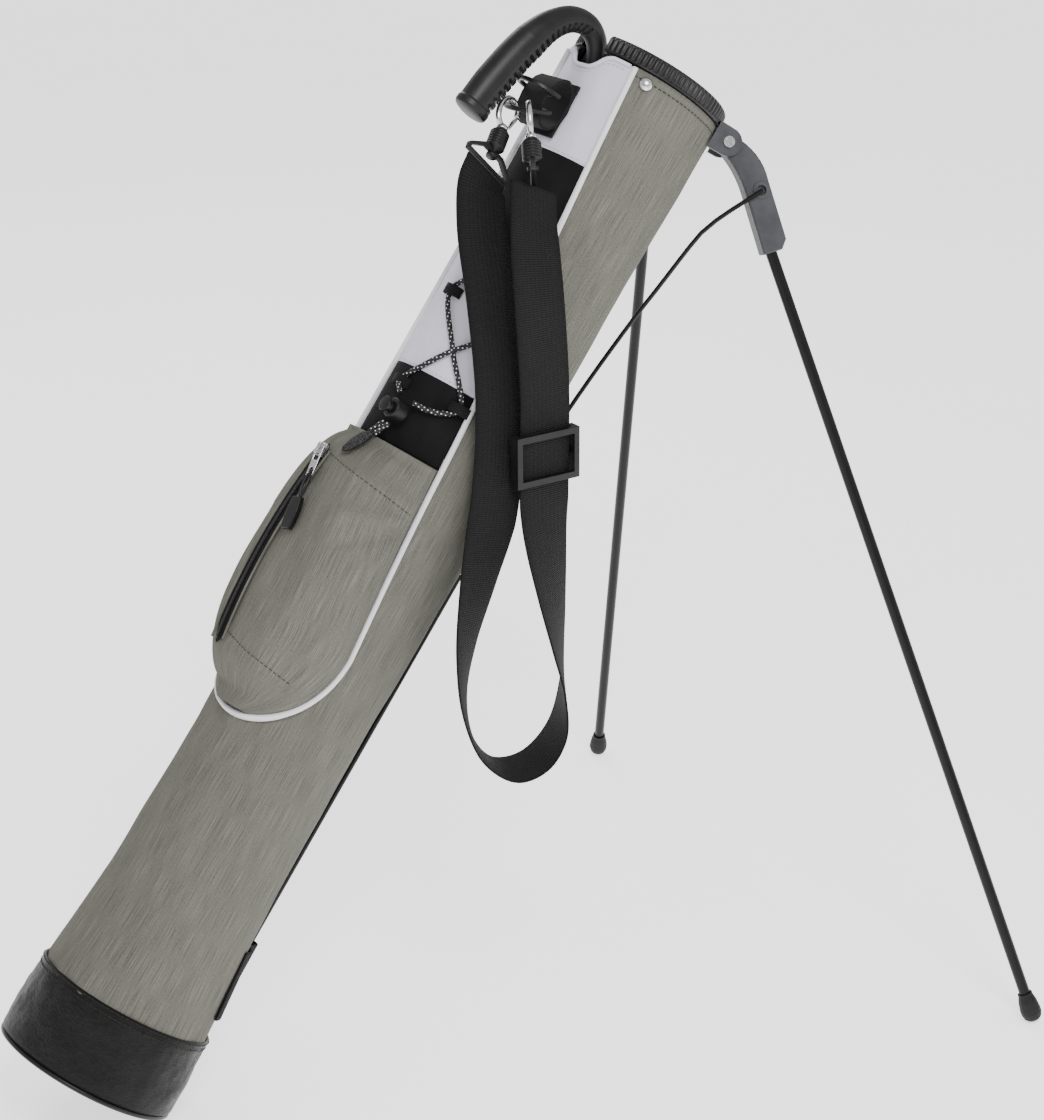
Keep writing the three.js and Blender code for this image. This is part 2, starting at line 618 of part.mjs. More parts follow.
// A snap hook lies along +Z of its own group: eye at 0, swivel body, then the hook.
// Its crook is square to the wire that it holds.
function buildHook(k, eyeAt, ringAt, wire) {
  const ahead = ringAt.clone().sub(eyeAt).normalize();
  const side = wire.clone().cross(ahead).normalize();
  const turn = new THREE.Group();
  turn.position.copy(eyeAt);
  turn.quaternion.setFromRotationMatrix(new THREE.Matrix4().makeBasis(side, ahead.clone().cross(side), ahead));
  ground.add(turn);
  const eye = cut(plate(eyeShape(), 4), rod(vec(0, 0, 12), vec(0, 0, 20), 2.4, 12));
  add(`hook_eye_${k}`, eye, BLACK_PLASTIC, turn);
  const barrel = turned([
    [0, 10.4], [4.4, 10.4], [4.4, 13.1], [2, 13.2], [2, 17.3], [6, 17.6], [7.5, 20], [7.5, 30], [6, 33], [6, 40], [0, 40],
  ], 12);
  const crook = sweep([
    vec(0, 0, 38), vec(-7, 0, 43), vec(-9.5, 0, 52), vec(-6, 0, 62), vec(1, 0, 65), vec(8, 0, 61), vec(9.5, 0, 55),
  ], roundSection(2.4, 8), 12);
  add(`hook_body_${k}`, join(barrel, crook), BRIGHT_METAL, turn);
  add(`hook_gate_${k}`, rod(vec(5, 0, 41.2), vec(9, 0, 53.2), 1.6, 10), BRIGHT_METAL, turn);
}

function dRing() {
  const half = 21;
  const outer = new THREE.Shape();
  outer.moveTo(-half, 0);
  outer.lineTo(half, 0);
  outer.absarc(0, 4, half, 0, Math.PI, false);
  const hole = new THREE.Path();
  hole.moveTo(-half + 4, 4);
  hole.lineTo(half - 4, 4);
  hole.absarc(0, 4, half - 4, 0, Math.PI, false);
  outer.holes.push(hole);
  return plate(outer, 3.6, 0.8);
}

function buildHardware() {
  const x = -76;
  const outline = new THREE.Shape();
  outline.absellipse(0, 0, 13, 21, 0, 2 * Math.PI);
  const inside = new THREE.Path();
  inside.absellipse(0, 0, 10.8, 18.8, 0, 2 * Math.PI, true);
  outline.holes.push(inside);
  const tab = cut(plate(outline, 30).translate(x, 0, 811), block(-62.9, 0, -40, 40, 780, 850));
  add('strap_tab', join(tab, block(-66.4, -64.2, -15, 15, 789, 833)), BLACK_CLOTH);
  const place = (ringGeometry, s, tilt) =>
    ringGeometry.rotateZ(Math.PI / 2).rotateY(rad(-90 + tilt)).translate(x - 4, 0, s);
  add('d_ring_1', place(dRing(), 816, 0), BLACK_PLASTIC);
  add('d_ring_2', place(dRing(), 803, -28), BLACK_PLASTIC);
}

buildBase();
buildCloth();
buildPiping();
buildStayRod();
buildCollar();
buildHandle();
buildRivets();
buildLegs();
buildActuator();
buildRetainer();
buildPocket();
buildSlider();
buildBungee();
buildCordLock();
buildHardware();
buildStrap();
buildHook(1, vec(300.5, -25, 700.3), vec(338.2, 0, 736.7), vec(0, 1, 0));
buildHook(2, vec(328, -46, 689), vec(345.5, -14.6, 735.5), vec(-0.756, 0.643, 0.12));

// Lean the bag onto its lowest base edge, then centre the whole on the origin.
bag.rotation.y = Math.PI / 2 - lean;
bag.position.set(-BASE_RADIUS * Math.sin(lean), 0, BASE_RADIUS * Math.cos(lean));
group.updateMatrixWorld(true);
const box = new THREE.Box3().setFromObject(group, true);
const middle = box.getCenter(vec(0, 0, 0));
group.position.set(-middle.x, 0, -box.min.z);

export default group;
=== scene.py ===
"""Looks for the stand golf bag: cloth, leather, webbing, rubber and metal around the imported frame.

Places are written in millimetres, in one of two frames, and are turned into the row's metres when
a mesh is made. The bag frame stands upright on the base: x towards the belly, y to the far side,
z up the bag. The ground frame has the base's lowest edge at x = 0.
"""
import json
import math

import bmesh
import bpy
from mathutils import Matrix, Vector, noise


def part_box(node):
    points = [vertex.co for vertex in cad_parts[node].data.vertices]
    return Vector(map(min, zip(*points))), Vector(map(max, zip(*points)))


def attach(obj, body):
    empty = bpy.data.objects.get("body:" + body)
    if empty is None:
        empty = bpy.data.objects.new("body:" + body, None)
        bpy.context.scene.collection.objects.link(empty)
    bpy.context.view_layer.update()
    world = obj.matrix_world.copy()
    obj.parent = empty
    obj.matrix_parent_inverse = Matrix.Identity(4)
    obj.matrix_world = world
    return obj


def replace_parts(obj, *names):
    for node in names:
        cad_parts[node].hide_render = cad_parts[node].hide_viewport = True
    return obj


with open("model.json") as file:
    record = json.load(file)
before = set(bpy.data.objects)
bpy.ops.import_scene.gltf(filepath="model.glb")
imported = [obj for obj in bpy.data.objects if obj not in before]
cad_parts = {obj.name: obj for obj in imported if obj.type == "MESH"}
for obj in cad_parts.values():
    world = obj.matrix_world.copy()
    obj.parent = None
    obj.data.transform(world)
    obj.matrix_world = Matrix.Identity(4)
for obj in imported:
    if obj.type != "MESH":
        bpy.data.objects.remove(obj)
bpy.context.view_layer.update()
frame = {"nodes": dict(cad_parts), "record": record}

MM = 0.001
LENGTH = 880
LEAN = math.radians(53)
BASE_RADIUS = 72.5
BOOT_HEIGHT = 64
FABRIC_TOP = 866
U_TOP = 375
U_DROP = 76
SPINE_TURN = 14
U_HALF = 58
RIBS = 84
WEB_WIDTH = 44
WEB_THICK = 2
ACTUATOR_X = 78

OUTER_RADIUS = [(0, 70), (64, 70), (150, 62.5), (280, 60), (460, 61), (700, 61.5), (866, 63.5)]
NEAR_EDGE = [(375, 72), (470, 64.5), (575, 60), (720, 50), (800, 44.5), (866, 40.5)]
SPINE_LINE = [(375, 14), (575, 8), (866, 1)]
ZIP_X, ZIP_Y, ZIP_S, ZIP_RADIUS, ZIP_HALF = 91, -326, 423, 337, 14

# The strap's route, repeated from part.mjs in millimetres of the ground frame.
STRAP_ROUTE = [
    (299.5, -25.6, 699.3), (292, -31, 691), (284, -43, 664), (282, -58, 614), (280, -72, 540),
    (271, -77, 460), (255, -78, 400), (243, -79, 350), (240, -80, 305), (250, -81, 265),
    (275, -82, 240), (303, -83, 241), (323, -84, 262), (328, -85, 300), (323, -86, 340),
    (316, -86, 390), (310, -86, 440), (310, -86, 492), (310, -86, 545), (309, -81, 610),
    (314, -68, 652), (323, -53, 677), (327.3, -47, 687.2),
]
TURN_FROM, TURN_TO = 0.273, 0.753
HOOKS = [
    ((300.5, -25, 700.3), (338.2, 0, 736.7), (0, 1, 0)),
    ((328, -46, 689), (345.5, -14.6, 735.5), (-0.756, 0.643, 0.12)),
]


# ---- frames ----
def frames():
    """The matrices that take the bag frame and the ground frame, in mm, to the row in metres."""
    face = next(m for m in frame["record"]["mounts"] if m["name"] == "base_face")
    up = -Vector(face["axis"]).normalized()
    origin = Vector(face["pos_m"]) - up * 0.6 * MM
    side = Vector((0, 1, 0))
    belly = side.cross(up)
    turn = Matrix((belly, side, up)).transposed().to_4x4()
    scale = Matrix.Diagonal((MM, MM, MM, 1))
    edge = Vector((-BASE_RADIUS * math.sin(LEAN), 0, BASE_RADIUS * math.cos(LEAN))) * MM
    return Matrix.Translation(origin) @ turn @ scale, Matrix.Translation(origin - edge) @ scale


BAG, GROUND = frames()


# ---- camera, floor and lights ----
def build_camera():
    camera = bpy.data.objects.new("camera", bpy.data.cameras.new("camera"))
    camera.data.sensor_fit = "VERTICAL"
    camera.data.sensor_height = 36
    camera.data.lens = 83.47
    camera.data.clip_start = 0.05
    yaw, dip, roll = math.radians(56.108), math.radians(21.485), math.radians(-0.27)
    forward = Vector((math.cos(yaw) * math.cos(dip), math.sin(yaw) * math.cos(dip), -math.sin(dip)))
    right = forward.cross(Vector((0, 0, 1))).normalized()
    upward = right.cross(forward)
    facing = Matrix((right, upward, -forward)).transposed()
    place = GROUND @ Vector((-728, -1600.1, 1131.2))
    roll_turn = Matrix.Rotation(roll, 3, "Z")
    camera.matrix_world = Matrix.Translation(place) @ (facing @ roll_turn).to_4x4()
    bpy.context.scene.collection.objects.link(camera)
    bpy.context.scene.camera = camera


def area_light(name, place, size, watts, target=(0, 0, 0.4)):
    light = bpy.data.objects.new(name, bpy.data.lights.new(name, "AREA"))
    light.data.shape = "DISK"
    light.data.size = size
    light.data.energy = watts
    aim = Vector(target) - Vector(place)
    light.rotation_euler = aim.to_track_quat("-Z", "Y").to_euler()
    light.location = place
    bpy.context.scene.collection.objects.link(light)


def build_studio():
    world = bpy.data.worlds.new("studio")
    bpy.context.scene.world = world
    world.use_nodes = True
    world.node_tree.nodes["Background"].inputs["Color"].default_value = (1, 1, 1, 1)
    world.node_tree.nodes["Background"].inputs["Strength"].default_value = 0.75
    area_light("key", (-0.5, -1.5, 2.0), 0.9, 34, (0.12, 0, 0.62))
    area_light("fill", (1.4, -2.2, 1.2), 1.4, 3)
    area_light("rim", (0.6, 1.9, 1.9), 1.0, 14)
    bpy.ops.mesh.primitive_plane_add(size=40, location=(0, 0, -0.0005))
    floor = bpy.context.object
    floor.name = "floor"
    material, shader = new_material("floor", (0.95, 0.95, 0.95), 0.95, Specular_IOR_Level=0.0,
                                    Emission_Color=(1, 1, 1, 1), Emission_Strength=1.3)
    tint(material, shader, (0.93, 0.93, 0.93), (0.96, 0.96, 0.96), patchy(material, 3))
    floor.data.materials.append(material)


# ---- materials ----
def new_material(name, color, roughness, metallic=0.0, **extra):
    material = bpy.data.materials.new(name)
    material.use_nodes = True
    shader = material.node_tree.nodes["Principled BSDF"]
    shader.inputs["Base Color"].default_value = (*color, 1)
    shader.inputs["Roughness"].default_value = roughness
    shader.inputs["Metallic"].default_value = metallic
    for key, value in extra.items():
        shader.inputs[key.replace("_", " ")].default_value = value
    return material, shader


def add(material, kind, settings=(), **inputs):
    """A node with its settings and inputs; an input is a value or another node's output."""
    node = material.node_tree.nodes.new(kind)
    for key, value in dict(settings).items():
        setattr(node, key, value)
    for key, value in inputs.items():
        socket = node.inputs[int(key[1:]) if key[1:].isdigit() else key.replace("_", " ")]
        if isinstance(value, bpy.types.NodeSocket):
            material.node_tree.links.new(value, socket)
        else:
            socket.default_value = value
    return node


def mapped(material, scale, source="UV", turn=0.0):
    """Texture coordinates stretched by scale: UV is in millimetres, Object in metres."""
    coords = add(material, "ShaderNodeTexCoord").outputs[source]
    node = add(material, "ShaderNodeMapping", Vector=coords, Scale=scale, Rotation=(0, 0, turn))
    return node.outputs["Vector"]


def patchy(material, scale, source="Object", detail=3.0):
    scale = scale if isinstance(scale, tuple) else (scale, scale, scale)
    vector = mapped(material, scale, source)
    return add(material, "ShaderNodeTexNoise", Vector=vector, Scale=1.0, Detail=detail).outputs["Fac"]


def math_node(material, operation, first, second=0.0):
    return add(material, "ShaderNodeMath", {"operation": operation}, _0=first, _1=second).outputs[0]


def tint(material, shader, dark, light, fac, low=0.3, high=0.7):
    """Base colour runs from dark to light as fac runs from low to high."""
    ramp = add(material, "ShaderNodeMapRange", Value=fac, From_Min=low, From_Max=high)
    mix = add(material, "ShaderNodeMix", {"data_type": "RGBA"}, Factor=ramp.outputs[0])
    mix.inputs[6].default_value = (*dark, 1)
    mix.inputs[7].default_value = (*light, 1)
    material.node_tree.links.new(mix.outputs[2], shader.inputs["Base Color"])
    return mix


def vary_roughness(material, shader, low, high, fac):
    ramp = add(material, "ShaderNodeMapRange", Value=fac, To_Min=low, To_Max=high)
    material.node_tree.links.new(ramp.outputs[0], shader.inputs["Roughness"])


def bump(material, shader, height, depth_mm, strength=1.0):
    node = add(material, "ShaderNodeBump", Height=height, Distance=depth_mm * MM, Strength=strength)
    material.node_tree.links.new(node.outputs["Normal"], shader.inputs["Normal"])


def stripes(material, vector, axis, pitch_mm):
    """A sine across one texture axis, 0 to 1, with one stripe each pitch."""
    parts = add(material, "ShaderNodeSeparateXYZ", Vector=vector)
    turns = math_node(material, "MULTIPLY", parts.outputs[axis], 2 * math.pi / pitch_mm)
    wave = math_node(material, "SINE", turns)
    half = math_node(material, "MULTIPLY", wave, 0.5)
    return math_node(material, "ADD", half, 0.5)


def heather_material(name, dark, light):
    """Two-tone woven cloth with fine slubs that run up the bag."""
    material, shader = new_material(name, light, 0.95, Specular_IOR_Level=0.2)
    slub = patchy(material, (1.9, 0.035, 1), "UV", 4.0)
    fleck = patchy(material, (3.0, 0.5, 1), "UV", 2.0)
    broad = patchy(material, (0.05, 0.01, 1), "UV", 2.0)
    both = math_node(material, "ADD", math_node(material, "MULTIPLY", slub, 0.6),
                     math_node(material, "MULTIPLY", fleck, 0.28))
    both = math_node(material, "ADD", both, math_node(material, "MULTIPLY", broad, 0.12))
    tint(material, shader, dark, light, both, 0.36, 0.64)
    uv = mapped(material, (1, 1, 1))
    weave = math_node(material, "MULTIPLY", stripes(material, uv, 0, 0.9), stripes(material, uv, 1, 0.9))
    height = math_node(material, "ADD", weave, math_node(material, "MULTIPLY", slub, 1.5))
    bump(material, shader, height, 0.16)
    return material


def plain_cloth(name, dark, light, pitch=0.8):
    material, shader = new_material(name, light, 0.9, Specular_IOR_Level=0.15)
    uv = mapped(material, (1, 1, 1), turn=math.radians(38))
    weave = math_node(material, "MULTIPLY", stripes(material, uv, 0, pitch), stripes(material, uv, 1, pitch))
    soft = patchy(material, (0.05, 0.03, 1), "UV")
    both = math_node(material, "ADD", math_node(material, "MULTIPLY", weave, 0.35),
                     math_node(material, "MULTIPLY", soft, 0.65))
    tint(material, shader, dark, light, both, 0.25, 0.7)
    bump(material, shader, weave, 0.12)
    return material


def webbing_material(name, dark, light, pitch=1.7):
    """Ribs across the web, with fine columns along it; rib tops get painted sheen, grooves painted shade."""
    material, shader = new_material(name, light, 0.75, Specular_IOR_Level=0.25)
    uv = mapped(material, (1, 1, 1))
    ribs = stripes(material, uv, 1, pitch)
    columns = stripes(material, uv, 0, 1.3)
    wear = patchy(material, (0.15, 0.05, 1), "UV")
    height = math_node(material, "ADD", ribs, math_node(material, "MULTIPLY", columns, 0.45))
    # painted sheen on the rib tops and painted shade in the grooves, mixed with a random wear tone
    painted_rib_shade_and_wear = math_node(material, "ADD", math_node(material, "MULTIPLY", height, 0.5),
                      math_node(material, "MULTIPLY", wear, 0.3))
    tint(material, shader, dark, light, painted_rib_shade_and_wear, 0.2, 0.95)
    bump(material, shader, height, 0.45)
    return material


def leather_material(name):
    material, shader = new_material(name, (0.012, 0.012, 0.011), 0.45, Specular_IOR_Level=0.2)
    grain = add(material, "ShaderNodeTexVoronoi", {"feature": "DISTANCE_TO_EDGE"},
                Vector=mapped(material, (0.75, 0.75, 0.75)), Scale=1.0).outputs["Distance"]
    wrinkle = patchy(material, (0.18, 0.35, 1), "UV", 5.0)
    height = math_node(material, "ADD", math_node(material, "MULTIPLY", grain, 0.8), wrinkle)
    tint(material, shader, (0.001, 0.001, 0.001), (0.005, 0.005, 0.0045), wrinkle)
    vary_roughness(material, shader, 0.3, 0.46, wrinkle)
    bump(material, shader, height, 1.1)
    return material


def moulded(name, dark, light, roughness, grain=0.05, **extra):
    """Moulded plastic or rubber with a fine spark texture and slightly uneven gloss."""
    material, shader = new_material(name, light, roughness, **extra)
    broad = patchy(material, 60)
    spark = patchy(material, 1800, detail=2.0)
    tint(material, shader, dark, light, broad)
    vary_roughness(material, shader, roughness - 0.06, roughness + 0.08, broad)
    bump(material, shader, spark, grain)
    return material


def metal(name, dark, light, roughness):
    material, shader = new_material(name, light, roughness, metallic=1.0)
    scuffs = patchy(material, (900, 120, 300))
    tint(material, shader, dark, light, scuffs)
    vary_roughness(material, shader, roughness * 0.7, roughness * 1.5, scuffs)
    bump(material, shader, scuffs, 0.01)
    return material


def braid_material(name):
    """Black braid with rows of white flecks."""
    material, shader = new_material(name, (0.02, 0.02, 0.02), 0.7)
    uv = mapped(material, (1, 1, 1), turn=math.radians(20))
    checks = math_node(material, "MULTIPLY", stripes(material, uv, 0, 3.1), stripes(material, uv, 1, 3.3))
    tint(material, shader, (0.006, 0.006, 0.006), (0.7, 0.7, 0.73), checks, 0.68, 0.78)
    bump(material, shader, checks, 0.3)
    return material


def build_materials():
    made = {
        "grey": heather_material("heather_cloth", (0.075, 0.074, 0.061), (0.19, 0.187, 0.16)),
        "white": plain_cloth("white_cloth", (0.64, 0.63, 0.715), (0.76, 0.75, 0.83)),
        "black": plain_cloth("black_cloth", (0.005, 0.005, 0.0055), (0.012, 0.012, 0.0125)),
        "lining": plain_cloth("lining_cloth", (0.004, 0.004, 0.004), (0.009, 0.009, 0.009)),
        "piping": plain_cloth("piping_cloth", (0.70, 0.70, 0.74), (0.86, 0.86, 0.88), 1.1),
        "web": webbing_material("strap_webbing", (0.0015, 0.0015, 0.0015), (0.009, 0.009, 0.0085)),
        "hide": leather_material("boot_leather"),
        "braid": braid_material("elastic_braid"),
        "grip": moulded("grip_rubber", (0.004, 0.004, 0.004), (0.010, 0.010, 0.0095), 0.4, 0.06,
                        Specular_IOR_Level=0.3),
        "collar": moulded("collar_plastic", (0.005, 0.005, 0.005), (0.012, 0.012, 0.0115), 0.38,
                          Specular_IOR_Level=0.35),
        "plastic": moulded("black_plastic", (0.004, 0.004, 0.004), (0.01, 0.01, 0.01), 0.36,
                           Specular_IOR_Level=0.3),
        "slate": moulded("slate_plastic", (0.022, 0.023, 0.027), (0.042, 0.044, 0.05), 0.45),
        "paint": moulded("leg_paint", (0.002, 0.002, 0.002), (0.004, 0.004, 0.004), 0.3, 0.01,
                         Specular_IOR_Level=0.22),
        "rubber": moulded("foot_rubber", (0.006, 0.006, 0.006), (0.014, 0.014, 0.014), 0.6, 0.08,
                          Specular_IOR_Level=0.25),
        "nickel": metal("bright_nickel", (0.50, 0.50, 0.51), (0.80, 0.80, 0.81), 0.2),
        "thread": plain_cloth("dark_thread", (0.02, 0.02, 0.018), (0.05, 0.05, 0.045), 0.4),
        "pale_thread": plain_cloth("pale_thread", (0.45, 0.45, 0.5), (0.62, 0.62, 0.66), 0.4),
    }
    return made


LOOK = build_materials()


# ---- shapes ----
def along(table, at):
    """The value at a place in a table of (place, value) rows, read in straight lines."""
    for (a, first), (b, second) in zip(table, table[1:]):
        if at <= b:
            return first + (second - first) * max(0.0, (at - a) / (b - a))
    return table[-1][1]


def cloth_radius(s):
    return along(OUTER_RADIUS, s)


def near_edge(s):
    return along(NEAR_EDGE, s)


def far_edge(s):
    return 2 * along(SPINE_LINE, s) - near_edge(s)


def on_bag(phi, s, lift=0.0):
    """A point on the cloth: phi in degrees from the spine, through the near side, to the belly."""
    r = cloth_radius(s) + lift
    return Vector((-r * math.cos(math.radians(phi)), -r * math.sin(math.radians(phi)), s))


def on_zip(turn, radius=ZIP_RADIUS, x=ZIP_X):
    angle = math.radians(turn)
    return Vector((-x, ZIP_Y + radius * math.cos(angle), ZIP_S + radius * math.sin(angle)))


def finish_piece(name, mesh, materials, body, place, smooth=True):
    mesh.transform(place)
    mesh.update()
    piece = bpy.data.objects.new(name, mesh)
    bpy.context.scene.collection.objects.link(piece)
    for key in [materials] if isinstance(materials, str) else materials:
        mesh.materials.append(LOOK[key])
    mesh.polygons.foreach_set("use_smooth", [smooth] * len(mesh.polygons))
    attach(piece, body)
    return piece


def grid_mesh(name, nu, nv, place, closed=False, keep=None, scale=(1, 1)):
    """A sheet of nu by nv faces; place(u, v) gives each point, and UVs are in millimetres."""
    columns = nu if closed else nu + 1
    points = [place(i / nu, j / nv) for j in range(nv + 1) for i in range(columns)]
    faces = []
    marks = []
    for j in range(nv):
        for i in range(nu):
            if keep and not keep((i + 0.5) / nu, (j + 0.5) / nv):
                continue
            k = (i + 1) % columns
            faces.append((j * columns + i, j * columns + k, (j + 1) * columns + k, (j + 1) * columns + i))
            for a, b in ((i, j), (i + 1, j), (i + 1, j + 1), (i, j + 1)):
                marks.append((a / nu * scale[0], b / nv * scale[1]))
    mesh = bpy.data.meshes.new(name)
    mesh.from_pydata([tuple(p) for p in points], [], faces)
    layer = mesh.uv_layers.new(name="UVMap")
    for loop, mark in zip(layer.data, marks):
        loop.uv = mark
    return mesh


def thicken(piece, thickness_mm, offset=-1.0, inner_slot=0):
    solid = piece.modifiers.new("thickness", "SOLIDIFY")
    solid.thickness = thickness_mm * MM
    solid.offset = offset
    solid.use_even_offset = True
    solid.material_offset = inner_slot
    return solid


def round_edges(piece, width_mm, segments=3):
    edge = piece.modifiers.new("edges", "BEVEL")
    edge.width = width_mm * MM
    edge.segments = segments
    edge.limit_method = "ANGLE"
    edge.angle_limit = math.radians(35)
    edge.harden_normals = False


def smooth_path(points, steps):
    """A centripetal Catmull-Rom curve through the points, with even steps in all."""
    knots = [Vector(p) for p in points]
    knots = [knots[0] * 2 - knots[1], *knots, knots[-1] * 2 - knots[-2]]
    fine = []
    for a, b, c, d in zip(knots, knots[1:], knots[2:], knots[3:]):
        d0, d1, d2 = (max((q - p).length ** 0.5, 1e-4) for p, q in ((a, b), (b, c), (c, d)))
        m1 = ((b - a) / d0 - (c - a) / (d0 + d1) + (c - b) / d1) * d1
        m2 = ((c - b) / d1 - (d - b) / (d1 + d2) + (d - c) / d2) * d1
        for k in range(16):
            t = k / 16
            fine.append(b * (2 * t**3 - 3 * t**2 + 1) + m1 * (t**3 - 2 * t**2 + t)
                        + c * (3 * t**2 - 2 * t**3) + m2 * (t**3 - t**2))
    fine.append(Vector(points[-1]))
    return resample(fine, steps)


def path_length(path):
    return sum((b - a).length for a, b in zip(path, path[1:]))


def resample(path, steps):
    step = path_length(path) / steps
    out = [path[0].copy()]
    left = step
    for a, b in zip(path, path[1:]):
        span = (b - a).length
        walked = 0.0
        while span - walked >= left and len(out) < steps:
            walked += left
            out.append(a.lerp(b, walked / span))
            left = step
        left -= span - walked
    out.append(path[-1].copy())
    return out[: steps + 1]


def path_frames(path, side=None):
    """Tangent, side and normal at each point. A given side is kept square to the path instead."""
    tangents = []
    for i in range(len(path)):
        tangents.append((path[min(i + 1, len(path) - 1)] - path[max(i - 1, 0)]).normalized())
    if side:
        sides = [Vector(side).cross(t).normalized() for t in tangents]
    else:
        start = Vector((0.31, 0.87, 0.38))
        sides = [(start - tangents[0] * start.dot(tangents[0])).normalized()]
        for t in tangents[1:]:
            sides.append((sides[-1] - t * sides[-1].dot(t)).normalized())
    return [(t, s, t.cross(s).normalized()) for t, s in zip(tangents, sides)]


def sweep_mesh(name, path, section, sides, side=None, closed_ends=True):
    """A tube along the path; section(share, turn) gives its half sizes along side and normal."""
    axes = path_frames(path, side)
    last = len(path) - 1
    length = path_length(path)

    def place(u, v):
        k = round(v * last)
        a, b = section(v, 2 * math.pi * u)
        return path[k] + axes[k][1] * a + axes[k][2] * b

    girth = 2 * math.pi * max(Vector(section(0.5, 2 * math.pi * k / 8)).length for k in range(8))
    mesh = grid_mesh(name, sides, last, place, closed=True, scale=(girth, length))
    if closed_ends:
        cap_ends(mesh, sides)
    return mesh


def cap_ends(mesh, sides):
    work = bmesh.new()
    work.from_mesh(mesh)
    work.verts.ensure_lookup_table()
    count = len(work.verts)
    work.faces.new([work.verts[i] for i in reversed(range(sides))])
    work.faces.new([work.verts[count - sides + i] for i in range(sides)])
    bmesh.ops.recalc_face_normals(work, faces=work.faces)
    work.to_mesh(mesh)
    work.free()


def tube(name, path, radius, material, body, place=BAG, sides=16):
    round_section = lambda share, turn: (radius * math.cos(turn), radius * math.sin(turn))
    mesh = sweep_mesh(name, path, round_section, sides)
    return finish_piece(name, mesh, material, body, place)


def turned_mesh(name, profile, segments, radius_change=None, start=0.0, sweep=360.0):
    """A lathe of the profile's (radius, height) points about the bag's axis."""
    whole = sweep >= 360.0
    lengths = [0.0]
    for (r0, z0), (r1, z1) in zip(profile, profile[1:]):
        lengths.append(lengths[-1] + math.hypot(r1 - r0, z1 - z0))

    def place(u, v):
        r, z = profile[round(v * (len(profile) - 1))]
        phi = start + sweep * u
        if radius_change:
            r += radius_change(phi, r, z)
        turn = math.radians(phi)
        return Vector((-r * math.cos(turn), -r * math.sin(turn), z))

    girth = 2 * math.pi * max(r for r, z in profile) * sweep / 360
    return grid_mesh(name, segments, len(profile) - 1, place, closed=whole, scale=(girth, lengths[-1]))


def stitches(name, path, body, material="thread", stitch=3.0, gap=1.1, width=0.35, place=BAG):
    """A row of thread stitches along the path, each a small rounded bar."""
    length = path_length(path)
    count = int(length / (stitch + gap))
    points = resample(path, count * 4)
    verts, faces = [], []
    for k in range(count):
        a = points[4 * k]
        b = a.lerp(points[min(4 * k + 4, len(points) - 1)], stitch / (stitch + gap))
        ahead = (b - a).normalized()
        side = ahead.orthogonal().normalized()
        top = ahead.cross(side)
        base = len(verts)
        for share, size in ((0, 0.3), (0.2, 1), (0.8, 1), (1, 0.3)):
            for q in range(6):
                turn = math.pi * q / 3
                out = side * math.cos(turn) + top * math.sin(turn)
                verts.append(tuple(a.lerp(b, share) + out * width * size))
        for ring in range(3):
            for q in range(6):
                r = (q + 1) % 6
                at = base + 6 * ring
                faces.append((at + q, at + r, at + 6 + r, at + 6 + q))
        faces.append(tuple(base + q for q in reversed(range(6))))
        faces.append(tuple(base + 18 + q for q in range(6)))
    mesh = bpy.data.meshes.new(name)
    mesh.from_pydata(verts, [], faces)
    return finish_piece(name, mesh, material, body, place)


build_camera()
build_studio()


# ---- strap, hooks and glide ----
def strap_section(share, turn):
    """A flat web with rounded edges, which turns over once round the bottom of its loop."""
    shape = 0.3
    wide, thick = math.cos(turn), math.sin(turn)
    wide = WEB_WIDTH / 2 * math.copysign(abs(wide) ** shape, wide)
    thick = WEB_THICK / 2 * math.copysign(abs(thick) ** shape, thick)
    over = -math.pi * min(1.0, max(0.0, (share - TURN_FROM) / (TURN_TO - TURN_FROM)))
    return (wide * math.cos(over) - thick * math.sin(over), wide * math.sin(over) + thick * math.cos(over))


def build_strap():
    path = smooth_path(STRAP_ROUTE, 260)
    mesh = sweep_mesh("strap_web", path, strap_section, 28, side=(0, 1, 0))
    strap = finish_piece("strap_web", mesh, "web", "bag", GROUND)
    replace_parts(strap, "strap")
    return strap, path


def hook_frame(eye, ring, wire):
    ahead = (Vector(ring) - Vector(eye)).normalized()
    side = Vector(wire).cross(ahead).normalized()
    turn = Matrix((side, ahead.cross(side), ahead)).transposed().to_4x4()
    return GROUND @ Matrix.Translation(Vector(eye)) @ turn


def lathe_piece(name, profile, material, body, place, segments=32):
    mesh = turned_mesh(name, profile, segments)
    return finish_piece(name, mesh, material, body, place)


def build_hook(number):
    """A snap hook: ribbed swivel barrel, bright neck and a round crook."""
    place = hook_frame(*HOOKS[number - 1])
    profile = [(0, 10.6), (4.2, 10.6), (4.4, 11.4), (4.4, 12.8), (2.2, 13.2), (2.1, 17.2), (5.4, 17.6),
               (6.4, 18.6)]
    for k in range(6):
        low = 19.2 + 2.4 * k
        profile += [(7.4, low), (7.5, low + 1.1), (6.5, low + 1.5), (6.5, low + 2.1)]
    profile += [(6.3, 34), (5.2, 35), (4.6, 36), (0, 36)]
    barrel = lathe_piece(f"hook_barrel_{number}", profile, "plastic", "bag", place)
    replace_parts(barrel, f"hook_body_{number}")
    collar = [(0, 36), (4.1, 36.1), (4.4, 36.8), (4.4, 39.2), (3.6, 40), (0, 40)]
    neck = lathe_piece(f"hook_neck_{number}", collar, "nickel", "bag", place)
    round_hook = [(0, 0, 38), (-7, 0, 43), (-9.5, 0, 52), (-6, 0, 62), (1, 0, 65), (8, 0, 61), (9.5, 0, 55)]
    crook = smooth_path(round_hook, 40)
    bend = tube(f"hook_crook_{number}", crook, 2.3, "nickel", "bag", place)
    return [barrel, neck, bend]


